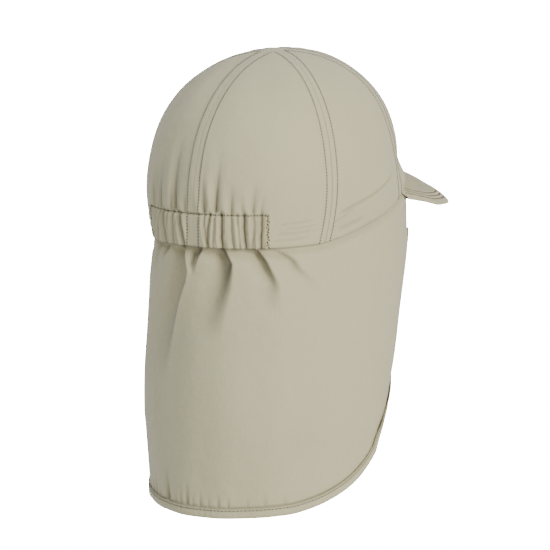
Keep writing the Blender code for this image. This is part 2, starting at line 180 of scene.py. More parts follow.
def crown_relief(turn, above_rim):
    """How far the crown's cloth stands out from its smooth form, in metres, and how much its
    gathers keep the light out, from 0 to 1."""
    relief = 0.0006 * ripple(turn, above_rim, 42.0, 0.07, 4) * eased((180.0 - np.abs(turn)) / 20.0)
    shade = 0.0 * relief
    over = above_rim - CASING_HEIGHT
    in_casing = np.clip(above_rim / CASING_HEIGHT, 0.0, 1.0)
    gathered = eased((CASING_END_TURN - np.abs(turn)) / 2.0)
    beside_seam = eased((np.abs(turn) - 3.2) / 1.5)
    puff = 0.0016 * np.sin(math.pi * (0.12 + 0.88 * in_casing)) ** 0.7 * gathered * (over < 0)
    relief = relief + puff * (0.35 + 0.65 * beside_seam)
    hem_flare = 0.0009 * (1.0 - in_casing) ** 2 * eased((75.0 - np.abs(turn)) / 20.0)
    relief = relief + hem_flare
    for top, low, width, depth in zip(*(PLEATS[c] for c in PLEATS)):
        sway = 0.4 * np.sin(in_casing * 5.0 + low) + 0.12 * np.sin(in_casing * 17.0 + 3.0 * top)
        centre = between(low, top, in_casing) + sway * 0.6
        beside = (turn - centre) / width
        valley = np.exp(-np.sqrt(beside**2 + 0.04)) - 0.30 * pressed(np.abs(beside), 2.6, 0.9)
        fade = np.where(over < 0, 1.0, np.maximum(0.0, 1.0 - over / 0.006) ** 2)
        relief = relief - 0.001 * depth * valley * fade
        # Painted shade in each pleat, set a little to the right of its valley, where the slope faces away
        # from the light
        dim = np.exp(0.2 - np.sqrt(((beside - 0.25) * 1.1) ** 2 + 0.04)) * fade
        shade = np.maximum(shade, min(0.9, depth / 3.0) * dim)
    for low, top, run, width, depth in zip(*(CROWN_FOLDS[c] for c in CROWN_FOLDS)):
        along = np.clip(over / (0.001 * run), 0.0, 1.0)
        centre = between(low, top, along)
        spread = width * (1.0 + 1.1 * along)
        beside = (turn - centre) / spread
        valley = np.exp(-np.sqrt(beside**2 + 0.04) * 1.2) - 0.40 * pressed(beside, -2.4, 1.2)
        strength = (1.0 - eased(along)) * eased(over / 0.0025) * (over > 0)
        relief = relief - 0.001 * depth * valley * strength
        # Painted shade in each fold, set the same way
        dim = np.exp(0.2 - np.sqrt(((beside - 0.25) * 1.5) ** 2 + 0.04)) * strength**1.2
        shade = np.maximum(shade, min(1.0, depth / 2.6) * 0.85 * dim)
    stitch_line = pressed(above_rim, CASING_HEIGHT, 0.0010) * gathered
    relief = relief - 0.0011 * stitch_line
    # A painted shadow line at the hem, where the crown's lower edge overhangs the flap, and painted shade
    # along the casing's stitch line
    hem_shadow_line = np.exp(-above_rim / 0.0007)
    shade = np.maximum(shade, np.maximum(0.30 * stitch_line, (0.45 + 0.25 * gathered) * hem_shadow_line))
    right = np.abs(turn)
    relief = relief + 0.0015 * pressed(right, 129.0, 9.0) * pressed(above_rim, 0.003, 0.005)
    relief = relief - 0.0010 * pressed(right, 130.0, 14.0) * pressed(above_rim, 0.017, 0.007)
    for start, end, low_mm, high_mm, width, depth in zip(*(CREASES[c] for c in CREASES)):
        along = (right - start) / (end - start)
        line = 0.001 * between(low_mm, high_mm, np.clip(along, 0.0, 1.0))
        ends = eased(along / 0.12) * eased((1.0 - along) / 0.35)
        crease = pressed(above_rim, line, 0.001 * width)
        roll = 0.8 * pressed(above_rim, line - 0.0024 * width, 0.0022 * width)
        relief = relief - 0.0018 * depth * (crease - roll) * ends
        # Painted shade in each crease
        shade = np.maximum(shade, 0.45 * depth * crease * ends)
    return relief, np.clip(shade, 0.0, 1.0)


def crown_face(turn, level, depth=0.0, gathers=1.0):
    """Points at a depth below the crown's outer face, with its gathers and folds."""
    turn, level = np.broadcast_arrays(np.asarray(turn, float), np.asarray(level, float))
    nudge = np.where(level < 0.9, 0.002, -0.00002)
    point = crown_form(turn, level)
    along = crown_form(turn + 0.5, level) - crown_form(turn - 0.5, level)
    up = (crown_form(turn, level + nudge) - point) * np.sign(nudge)[..., None]
    outward = np.cross(along, up)
    outward /= np.linalg.norm(outward, axis=-1, keepdims=True)
    above_rim = level * (CROWN_HEIGHT - rim_height(turn))
    shown = eased((1.0 - level) / 0.08) * gathers
    return point + outward * (crown_relief(turn, above_rim)[0] * shown - depth)[..., None]


def seam_turn(bearing):
    """The turn at which a seam stands, from its plain bearing seen from above."""
    angle = math.radians(bearing)
    across = math.sin(angle) / CROWN_HALF_WIDTH
    return math.degrees(math.atan2(across, math.cos(angle) / CROWN_HALF_LENGTH))


def metres_per_degree(turn, level):
    step = crown_form(turn + 0.25, level) - crown_form(turn - 0.25, level)
    return np.linalg.norm(step, axis=-1) / 0.5


def cloth_mesh(name, points, attributes=None):
    """A mesh through rows and columns of points, with a flat chart in metres as its UV map."""
    rows, columns = points.shape[:2]
    index = np.arange(rows * columns).reshape(rows, columns)
    corners = (index[:-1, :-1], index[:-1, 1:], index[1:, 1:], index[1:, :-1])
    faces = np.stack(corners, -1).reshape(-1, 4)
    mesh = bpy.data.meshes.new(name)
    mesh.from_pydata(points.reshape(-1, 3).tolist(), [], faces.tolist())
    across = np.linalg.norm(np.diff(points, axis=1), axis=-1)
    up = np.linalg.norm(np.diff(points, axis=0), axis=-1)
    chart = np.zeros((rows, columns, 2))
    chart[:, 1:, 0] = np.cumsum(across, axis=1)
    chart[..., 0] -= chart[:, columns // 2, 0][:, None]
    chart[1:, :, 1] = np.cumsum(up, axis=0)
    uv_map = mesh.uv_layers.new(name="cut cloth")
    uv_map.data.foreach_set("uv", chart.reshape(-1, 2)[faces.ravel()].ravel())
    for label, values in (attributes or {}).items():
        layer = mesh.attributes.new(label, "FLOAT", "POINT")
        layer.data.foreach_set("value", np.asarray(values, np.float32).ravel())
    mesh.shade_smooth()
    return mesh


def finished(name, mesh, material, wall=0.0):
    """An object for a mesh, its wall added on the side that its faces point away from."""
    mesh.materials.append(material)
    piece = bpy.data.objects.new(name, mesh)
    bpy.context.scene.collection.objects.link(piece)
    if wall:
        thickness = piece.modifiers.new("cloth", "SOLIDIFY")
        thickness.thickness = wall
        thickness.offset = -1.0
    return piece


def linear(colour):
    """An sRGB hex colour as the linear values that a shader takes."""
    shares = (int(colour[i:i + 2], 16) / 255.0 for i in (1, 3, 5))
    return (*(s / 12.92 if s <= 0.04045 else ((s + 0.055) / 1.055) ** 2.4 for s in shares), 1.0)


def add(tree, kind, settings=None, links=None):
    """Adds a node, with settings for its properties or sockets and links from other sockets."""
    node = tree.nodes.new(kind)
    for key, value in (settings or {}).items():
        if isinstance(key, str) and hasattr(node, key):
            setattr(node, key, value)
        else:
            node.inputs[key].default_value = value
    for key, source in (links or {}).items():
        tree.links.new(source, node.inputs[key])
    return node


def woven_cloth(name, colour, shade, thread_mm, roughness, seams=False):
    """Fine plain weave: threads over and under, soft crinkles, and colour that is never even."""
    material = bpy.data.materials.new(name)
    material.use_nodes = True
    tree = material.node_tree
    tree.nodes.clear()
    chart = add(tree, "ShaderNodeUVMap", {"uv_map": "cut cloth"}).outputs["UV"]
    place = add(tree, "ShaderNodeTexCoord").outputs["Object"]
    thread_scale = 0.314 / (0.001 * thread_mm)
    warp = add(tree, "ShaderNodeTexWave",
               {"bands_direction": "X", "Scale": thread_scale, "Distortion": 0.4,
                "Detail": 1.0, "Detail Scale": 0.3}, {"Vector": chart})
    weft = add(tree, "ShaderNodeTexWave",
               {"bands_direction": "Y", "Scale": thread_scale, "Distortion": 0.4,
                "Detail": 1.0, "Detail Scale": 0.3}, {"Vector": chart})
    weave = add(tree, "ShaderNodeMath", {"operation": "MULTIPLY"},
                {0: warp.outputs["Fac"], 1: weft.outputs["Fac"]})
    slub = add(tree, "ShaderNodeTexNoise", {"Scale": 420.0, "Detail": 3.0}, {"Vector": place})
    drift = add(tree, "ShaderNodeTexNoise", {"Scale": 28.0, "Detail": 4.0}, {"Vector": place})
    crinkle = add(tree, "ShaderNodeTexNoise",
                  {"Scale": 95.0, "Detail": 3.0, "Roughness": 0.45}, {"Vector": place})
    mottle = add(tree, "ShaderNodeMath", {"operation": "MULTIPLY_ADD", 1: 0.35, 2: 0.0},
                 {0: drift.outputs["Fac"]})
    mottle = add(tree, "ShaderNodeMath", {"operation": "MULTIPLY_ADD", 1: 0.30},
                 {0: slub.outputs["Fac"], 2: mottle.outputs[0]})
    mottle = add(tree, "ShaderNodeMath", {"operation": "MULTIPLY_ADD", 1: 0.35},
                 {0: weave.outputs[0], 2: mottle.outputs[0]})
    tint = add(tree, "ShaderNodeMix",
               {"data_type": "RGBA", 6: linear(shade), 7: linear(colour)},
               {0: mottle.outputs[0]}).outputs[2]
    # Painted shade: as far as the in_shade attribute says, the colour is mixed towards a dark brown, the
    # shade that gathers, creases, hems and stitch rows hold
    gather = add(tree, "ShaderNodeAttribute", {"attribute_name": "in_shade"}).outputs["Fac"]
    gather = add(tree, "ShaderNodeMath", {"operation": "MULTIPLY", 1: 0.97}, {0: gather})
    tint = add(tree, "ShaderNodeMix", {"data_type": "RGBA", 7: linear("#4B4129")},
               {0: gather.outputs[0], 6: tint}).outputs[2]
    relief = add(tree, "ShaderNodeBump", {"Strength": 0.45, "Distance": 0.00012},
                 {"Height": weave.outputs[0]}).outputs["Normal"]
    relief = add(tree, "ShaderNodeBump", {"Strength": 0.55, "Distance": 0.0012},
                 {"Height": crinkle.outputs["Fac"], "Normal": relief}).outputs["Normal"]
    if seams:
        away = add(tree, "ShaderNodeAttribute", {"attribute_name": "from_seam"}).outputs["Fac"]
        allowance = add(tree, "ShaderNodeMapRange",
                        {"interpolation_type": "SMOOTHSTEP", "From Min": 0.0046,
                         "From Max": 0.0062, "To Min": 0.6, "To Max": 0.0}, {"Value": away})
        beside = add(tree, "ShaderNodeMath", {"operation": "SUBTRACT", 1: SEAM_STITCH_OFFSET},
                     {0: away})
        beside = add(tree, "ShaderNodeMath", {"operation": "ABSOLUTE"}, {0: beside.outputs[0]})
        row_dent = add(tree, "ShaderNodeMapRange",
                       {"interpolation_type": "SMOOTHSTEP", "From Min": 0.0, "From Max": 0.0009,
                        "To Min": 0.0, "To Max": 0.7}, {"Value": beside.outputs[0]})
        joint = add(tree, "ShaderNodeMapRange",
                    {"interpolation_type": "SMOOTHSTEP", "From Min": 0.0, "From Max": 0.0009,
                     "To Min": 0.0, "To Max": 0.3}, {"Value": away})
        height = add(tree, "ShaderNodeMath", {"operation": "ADD"},
                     {0: allowance.outputs[0], 1: row_dent.outputs[0]})
        height = add(tree, "ShaderNodeMath", {"operation": "ADD"},
                     {0: height.outputs[0], 1: joint.outputs[0]})
        relief = add(tree, "ShaderNodeBump", {"Strength": 0.8, "Distance": 0.0006},
                     {"Height": height.outputs[0], "Normal": relief}).outputs["Normal"]
        # Painted shade: the colour darkens in the stitch rows' dents and along the seam's joint, where the
        # cloth dips
        dark = add(tree, "ShaderNodeMapRange",
                   {"From Min": 0.0, "From Max": 0.7, "To Min": 0.93, "To Max": 1.0},
                   {"Value": row_dent.outputs[0]})
        dark_joint = add(tree, "ShaderNodeMapRange",
                         {"From Min": 0.0, "From Max": 0.3, "To Min": 0.94, "To Max": 1.0},
                         {"Value": joint.outputs[0]})
        dark = add(tree, "ShaderNodeMath", {"operation": "MULTIPLY"},
                   {0: dark.outputs[0], 1: dark_joint.outputs[0]})
        tint = add(tree, "ShaderNodeVectorMath", {"operation": "SCALE"},
                   {0: tint, "Scale": dark.outputs[0]}).outputs[0]
    shader = add(tree, "ShaderNodeBsdfPrincipled",
                 {"Roughness": roughness, "IOR": 1.5, "Specular IOR Level": 0.25,
                  "Sheen Weight": 0.25, "Sheen Roughness": 0.5},
                 {"Base Color": tint, "Normal": relief})
    add(tree, "ShaderNodeOutputMaterial", None, {"Surface": shader.outputs[0]})
    return material


# Plain-woven nylon, calendered: matt with a faint silky sheen. The real threads are 0.2 mm
# apart, too fine to show, so the weave is drawn at 0.9 mm.
crown_nylon = woven_cloth("plain-woven nylon, crown", "#C0B994", "#B5AD86", 0.9, 0.78, seams=True)


def crown_levels(turn, count, low_share=0.0):
    """Levels from rim to apex, spaced evenly along the cloth at a turn, or with an extra
    share of them close together over the casing and the hem."""
    fine = 1.0 - (1.0 - np.linspace(0.0, 1.0, 4000)) ** 3
    fine[-1] = 0.9999999
    steps = np.linalg.norm(np.diff(crown_form(turn, fine), axis=0), axis=-1)
    run = np.concatenate(([0.0], np.cumsum(steps)))
    low_run = 0.028 * min(1.0, low_share * 10.0)
    low_count = int(count * low_share)
    places = np.concatenate((np.linspace(0.0, low_run, low_count, endpoint=False),
                             np.linspace(low_run, run[-1], count - low_count)))
    return np.interp(places, run, fine)


SEAMS = [seam_turn(bearing) for bearing in SEAM_BEARINGS]
PANELS = {
    "place": ("back", "side", "front"),
    "columns": (60, 74, 92),
    "flat_width": (0.118, 0.081, 0.098),
    "flat_length": (0.168, 0.160, 0.150),
    "cut_share": (0.72, 0.78, 0.68),
}
for number, (place, columns, width, length, share) in enumerate(
        zip(*(PANELS[c] for c in PANELS))):
    for side, sign in (("right", 1.0), ("left", -1.0)):
        turns = np.linspace(SEAMS[number], SEAMS[number + 1], columns)
        if place == "back":
            turns = np.concatenate((np.linspace(SEAMS[0], 38.5, 176),
                                    np.linspace(38.5, SEAMS[1], columns)[1:]))
        turns = turns if sign > 0 else -turns[::-1]
        levels = crown_levels(turns.mean(), 170, 0.30)
        grid_turn, grid_level = np.meshgrid(turns, levels)
        spacing = metres_per_degree(grid_turn, grid_level)
        nearest = np.minimum(grid_turn - turns[0], turns[-1] - grid_turn)
        shade = crown_relief(grid_turn, grid_level * (CROWN_HEIGHT - rim_height(grid_turn)))[1]
        panel = finished(
            f"crown_{place}_{side}",
            cloth_mesh(f"crown_{place}_{side}", crown_face(grid_turn, grid_level),
                       {"from_seam": nearest * spacing, "in_shade": shade}),
            crown_nylon, CROWN_CLOTH)
        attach(panel, "root")
        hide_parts(f"crown_panel_{place}_{side}")

# Topstitching in spun polyester thread, one shade darker than the cloth: a row on each side
# of every seam, one along the top of the casing and a zigzag that closes each of its ends.
# Each row is a line of drawn-in holes with the thread lying between them.

STITCH_PITCH = 0.0021
thread = bpy.data.materials.new("spun polyester thread")
thread.use_nodes = True
thread_shader = thread.node_tree.nodes["Principled BSDF"]
thread_twist = add(thread.node_tree, "ShaderNodeTexNoise", {"Scale": 2500.0, "Detail": 2.0},
                   {"Vector": add(thread.node_tree, "ShaderNodeTexCoord").outputs["Object"]})
thread_tint = add(thread.node_tree, "ShaderNodeMix",
                  {"data_type": "RGBA", 6: linear("#928D77"), 7: linear("#AAA590")},
                  {0: thread_twist.outputs["Fac"]})
thread.node_tree.links.new(thread_tint.outputs[2], thread_shader.inputs["Base Color"])
thread_shader.inputs["Roughness"].default_value = 0.7
thread_shader.inputs["Sheen Weight"].default_value = 0.2

# The shade inside a needle hole, where the thread pulls the cloth in
needle_hole = bpy.data.materials.new("shaded needle hole in nylon")
needle_hole.use_nodes = True
hole_shader = needle_hole.node_tree.nodes["Principled BSDF"]
hole_grain = add(needle_hole.node_tree, "ShaderNodeTexNoise", {"Scale": 900.0},
                 {"Vector": add(needle_hole.node_tree, "ShaderNodeTexCoord").outputs["Object"]})
hole_tint = add(needle_hole.node_tree, "ShaderNodeMix",
                {"data_type": "RGBA", 6: linear("#463F30"), 7: linear("#6B6350")},
                {0: hole_grain.outputs["Fac"]})
needle_hole.node_tree.links.new(hole_tint.outputs[2], hole_shader.inputs["Base Color"])
hole_shader.inputs["Roughness"].default_value = 0.95
hole_shader.inputs["Specular IOR Level"].default_value = 0.05

# One tree sews every row: beads along a path, a pitch apart, first bead part of a pitch in
sewing = bpy.data.node_groups.new("row of stitches", "GeometryNodeTree")
sewing.is_modifier = True
for label, kind in (("Path", "NodeSocketGeometry"), ("Pitch", "NodeSocketFloat"),
                    ("Bead length", "NodeSocketFloat"), ("Bead width", "NodeSocketFloat"),
                    ("Finish", "NodeSocketMaterial")):
    sewing.interface.new_socket(label, in_out="INPUT", socket_type=kind)
sewing.interface.new_socket("Row", in_out="OUTPUT", socket_type="NodeSocketGeometry")
asked = add(sewing, "NodeGroupInput").outputs
path = add(sewing, "GeometryNodeMeshToCurve", None, {"Mesh": asked["Path"]})
beads = add(sewing, "GeometryNodeCurveToPoints", {"mode": "LENGTH"},
            {"Curve": path.outputs[0], "Length": asked["Pitch"]})
bead = add(sewing, "GeometryNodeMeshUVSphere", {"Segments": 6, "Rings": 4, "Radius": 0.5})
size = add(sewing, "ShaderNodeCombineXYZ", None,
           {"X": asked["Bead width"], "Y": asked["Bead width"], "Z": asked["Bead length"]})
sewn = add(sewing, "GeometryNodeInstanceOnPoints", None,
           {"Points": beads.outputs["Points"], "Instance": bead.outputs["Mesh"],
            "Rotation": beads.outputs["Rotation"], "Scale": size.outputs[0]})
real = add(sewing, "GeometryNodeRealizeInstances", None, {0: sewn.outputs[0]})
coated = add(sewing, "GeometryNodeSetMaterial", None,
             {"Geometry": real.outputs[0], "Material": asked["Finish"]})
add(sewing, "NodeGroupOutput", None, {0: coated.outputs[0]})


def sew(name, rows, length, width, finish, pitch=STITCH_PITCH, start=0.0):
    """Runs the sewing tree along rows of points and keeps the result as a plain mesh."""
    points, edges = [], []
    for row in rows:
        steps = np.linalg.norm(np.diff(row, axis=0), axis=-1)
        run = np.concatenate(([0.0], np.cumsum(steps)))
        count = max(2, int((run[-1] - start * pitch) / pitch) + 1)
        places = start * pitch + pitch * np.arange(count)
        places = places[places <= run[-1]]
        fine = np.arange(places[0], places[-1] + 1e-9, pitch / 4.0)
        line = np.stack([np.interp(fine, run, row[:, k]) for k in range(3)], -1)
        edges += [(len(points) + k, len(points) + k + 1) for k in range(len(line) - 1)]
        points += line.tolist()
    mesh = bpy.data.meshes.new(name)
    mesh.from_pydata(points, edges, [])
    guide = bpy.data.objects.new(name + "_path", mesh)
    bpy.context.scene.collection.objects.link(guide)
    modifier = guide.modifiers.new("sewing", "NODES")
    modifier.node_group = sewing
    values = {"Pitch": pitch * 0.9999, "Bead length": length, "Bead width": width, "Finish": finish}
    for socket in sewing.interface.items_tree:
        if socket.name in values:
            modifier[socket.identifier] = values[socket.name]
    evaluated = guide.evaluated_get(bpy.context.evaluated_depsgraph_get())
    sewn_mesh = bpy.data.meshes.new_from_object(evaluated)
    guide.modifiers.remove(modifier)
    bpy.data.objects.remove(guide)
    sewn_mesh.name = name
    sewn_mesh.shade_smooth()
    piece = bpy.data.objects.new(name, sewn_mesh)
    bpy.context.scene.collection.objects.link(piece)
    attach(piece, "root")
    return piece


def crown_rows(depth):
    """The rows along the seams and over the casing, at a depth below the crown's face."""
    rows = []
    levels = crown_levels(45.0, 400)[1:]
    for turn in (0.0, SEAMS[1], SEAMS[2], 180.0, -SEAMS[2], -SEAMS[1]):
        spacing = metres_per_degree(np.full_like(levels, turn), levels)
        for sign in (-1.0, 1.0):
            offset = SEAM_STITCH_OFFSET / np.maximum(spacing, 1e-6)
            kept = offset < 26.0
            rows.append(crown_face((turn + sign * offset)[kept], levels[kept], depth))
    turns = np.linspace(-CASING_END_TURN, CASING_END_TURN, 500)
    rows.append(crown_face(turns, CASING_HEIGHT / (CROWN_HEIGHT - rim_height(turns)), depth))
    return rows


zigzags = []
zigzag_chance = np.random.default_rng(5)
for sign in (-1.0, 1.0):
    heights = np.arange(0.0006, CASING_HEIGHT, 0.00125)
    for shift in (-0.2, 0.2):
        swing = 0.42 * np.where(np.arange(len(heights)) % 2 == 0, 1.0, -1.0)
        swing += zigzag_chance.uniform(-0.2, 0.2, len(heights))
        turns = sign * (37.7 - 1.8 * heights / CASING_HEIGHT + shift + swing)
        zigzags.append(crown_face(turns, heights / CROWN_HEIGHT, -0.0001))
sew("crown_stitches", crown_rows(-0.0001), 0.0014, 0.00045, thread, start=0.5)
sew("seam_needle_holes", crown_rows(-0.0001)[:-1], 0.0010, 0.0008, needle_hole)
sew("casing_needle_holes", crown_rows(-0.0001)[-1:], 0.00105, 0.0009, needle_hole)
sew("casing_end_zigzag", zigzags, 0.0019, 0.0006, needle_hole, pitch=0.0023)

# The sweatband is a soft woven band, 24 mm wide, sewn inside the rim all the way round. At
# the back the elastic runs behind it and gathers it together with the casing.

BAND_DEPTH = 0.0034
BAND_TOP = 0.0245
band_turns = np.concatenate((np.linspace(-180.0, -CASING_END_TURN, 170),
                             np.linspace(-36.5, 36.5, 150),
                             np.linspace(CASING_END_TURN, 180.0, 170)))
band_rise = np.linspace(0.0012, BAND_TOP, 16)
grid_turn, grid_rise = np.meshgrid(band_turns, band_rise)
band_points = crown_face(grid_turn, grid_rise / (CROWN_HEIGHT - rim_height(grid_turn)), BAND_DEPTH)
# Soft cotton and polyester band, matt and a shade darker than the crown
band_cloth = woven_cloth("brushed cotton band", "#B3AE98", "#A8A38C", 1.1, 0.92)
sweatband = finished("sweatband_cloth", cloth_mesh("sweatband_cloth", band_points), band_cloth, 0.0009)
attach(sweatband, "root")
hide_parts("sweatband")

# The peak is a stiff insert between two covers of the crown's nylon, turned in at the edge
# and held by three rows of stitching that pucker the cover. It is sewn under the front rim.

PEAK_HALF_WIDTH = 0.0700
PEAK_LENGTH = 0.0600
PEAK_END_TURN = 119.0
PEAK_CROWN = 0.0022
PEAK_THICKNESS = 0.0022
# Half of the edge, from its end (0) to its centre (1) and on to its far side
PEAK_EDGE = {
    "along": (0.0, 0.07, 0.14, 0.24, 0.45, 0.71, 1.0, 1.29),
    "half_width": (1.007, 0.997, 0.999, 0.980, 0.840, 0.486, 0.0, -0.486),
    "forward": (0.337, 0.415, 0.518, 0.616, 0.786, 0.937, 1.0, 0.937),
    "height": (0.570, 0.492, 0.387, 0.286, 0.230, 0.278, 0.382, 0.278),
}
PEAK_ROWS_MM = (5.5, 9.5, 13.5)


def peak_face(along, out):
    """The peak's upper face, along running 0 to 1 round it and out from its seam to its edge."""
    turn = between(PEAK_END_TURN, 360.0 - PEAK_END_TURN, along)
    turn = np.where(turn <= 180.0, turn, turn - 360.0)
    root = crown_face(turn, 0.0 * turn, 0.0014)
    root[..., 2] = rim_height(turn) - 0.0001
    half = 1.0 - np.abs(1.0 - 2.0 * along)
    edge = np.stack((
        PEAK_HALF_WIDTH * read(PEAK_EDGE, "half_width", half) * np.sign(along - 0.5 + 1e-9),
        -(RIM_FRONT_REACH + PEAK_LENGTH) * read(PEAK_EDGE, "forward", half),
        RIM_RISE * read(PEAK_EDGE, "height", half),
    ), -1)
    point = between(root, edge, np.asarray(out)[..., None])
    point[..., 2] += PEAK_CROWN * 4.0 * out * (1.0 - out) * np.sin(math.pi * along)
    return point, np.linalg.norm(edge - root, axis=-1)


peak_along = np.linspace(0.004, 0.996, 260)
profile = np.concatenate((np.linspace(0.0, 0.985, 44), np.full(7, 0.99), np.linspace(0.985, 0.0, 30)))
round_edge = np.concatenate((np.zeros(44), np.linspace(0.0, math.pi, 7), np.full(30, math.pi)))
grid_along, grid_out = np.meshgrid(peak_along, profile)
around = np.meshgrid(peak_along, round_edge)[1]
peak_points, peak_reach = peak_face(grid_along, grid_out)
from_edge = (1.0 - grid_out) * peak_reach
step_out = peak_face(grid_along, np.minimum(grid_out, 0.95) + 0.02)[0]
step_out -= peak_face(grid_along, np.minimum(grid_out, 0.95))[0]
step_along = peak_face(np.clip(grid_along + 0.004, 0, 1), grid_out)[0]
step_along -= peak_face(np.clip(grid_along - 0.004, 0, 1), grid_out)[0]
peak_up = np.cross(step_along, step_out)
peak_up /= np.linalg.norm(peak_up, axis=-1, keepdims=True)
peak_up *= np.sign(peak_up[..., 2:3] + 1e-9)
step_out /= np.linalg.norm(step_out, axis=-1, keepdims=True)
half = PEAK_THICKNESS / 2.0
end_taper = eased(peak_reach / 0.012) * 0.8 + 0.2
puckers = ripple(grid_along * 420.0, from_edge, 9.0, 0.02, 8)
quilt = -0.0002 + 0.0002 * np.abs(np.sin(math.pi * (from_edge * 1000.0 - PEAK_ROWS_MM[0]) / 4.0))
near_edge = eased((0.0155 - from_edge) / 0.002)
top = np.cos(around) * half * end_taper + (quilt + 0.00018 * puckers) * near_edge * (around < 1.0)
peak_points = peak_points + peak_up * (top - half)[..., None]
peak_points += step_out * (np.sin(around) * half * end_taper * (1.0 + 0.25 * puckers))[..., None]
# The crown's nylon again, drawn tight over the insert
peak_nylon = woven_cloth("plain-woven nylon, peak cover", "#C0B994", "#B5AD86", 0.9, 0.78)
# Painted shade for the peak: a little in each stitch row's dent, more over the part behind the rows that
# faces away from the light, most at the root under the crown's rim
beside_row = np.abs((from_edge * 1000.0 - PEAK_ROWS_MM[0] + 2.0) % 4.0 - 2.0)
in_row = np.exp(-((beside_row / 0.5) ** 2)) * near_edge * (from_edge > 0.0035)
shade_behind_rows = eased((from_edge - 0.0145) / 0.002) * 0.24 + 0.25 * np.exp(-grid_out / 0.04)
peak_shade = np.clip(0.04 * in_row + shade_behind_rows, 0.0, 1.0)
peak = finished("peak_covers", cloth_mesh("peak_covers", peak_points, {"in_shade": peak_shade}), peak_nylon)
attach(peak, "root")
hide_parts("peak")

peak_rows = []
for offset in PEAK_ROWS_MM:
    along = np.linspace(0.02, 0.98, 600)
    reach = peak_face(along, 0.0 * along)[1]
    kept = reach > 0.001 * offset + 0.003
    line = peak_face(along[kept], 1.0 - 0.001 * offset / reach[kept])[0]
    peak_rows.append(line + np.array((0.0, 0.0, -0.0001)))
sew("peak_stitches", peak_rows, 0.0018, 0.00042, thread, 0.0026, 0.5)
sew("peak_needle_holes", peak_rows, 0.0012, 0.0010, needle_hole, 0.0026)

# The neck flap is one sheet of the crown's nylon, sewn inside the rim from temple to temple.
# The elastic gathers its top into soft folds that run out before the middle of the flap.

FLAP_DROP = 0.1820
FLAP_HALF_WIDTH = 0.0820
FLAP_BACK_REACH = 0.1000
FLAP_FRONT_REACH = 0.1150
FLAP_TUCK = 0.0060
FLAP_CLOTH = 0.0005
FLAP_SECTIONS = {
    "drop": (-0.20, 0.00, 0.10, 0.36, 0.51, 0.66, 0.73, 1.00),
    "back_width": (0.90, 0.905, 0.935, 0.995, 1.02, 1.025, 1.01, 0.955),
    "front_width": (0.97, 0.97, 0.985, 0.99, 1.00, 1.00, 0.99, 0.955),
    "back_reach": (0.975, 0.975, 0.97, 0.975, 0.995, 1.00, 0.995, 0.97),
    "front_reach": (0.99, 1.00, 1.00, 0.84, 0.70, 0.54, 0.43, 0.40),
}
FLAP_EDGE = {
    "across": (0.00, 0.10, 0.25, 0.36, 0.45, 0.54, 0.63, 0.71, 0.79, 0.86, 0.93, 1.00),
    "rim_turn": (36, 50, 69, 80, 88, 95, 102, 108, 114, 119, 124, 128),
    "edge_turn": (36, 50, 71, 85, 95, 105, 118, 129, 137, 141, 142, 140),
    "drop": (0.990, 0.980, 0.925, 0.842, 0.760, 0.694, 0.612, 0.530, 0.425, 0.290, 0.140, 0.0),
}
FRONT_CURL = 0.0045
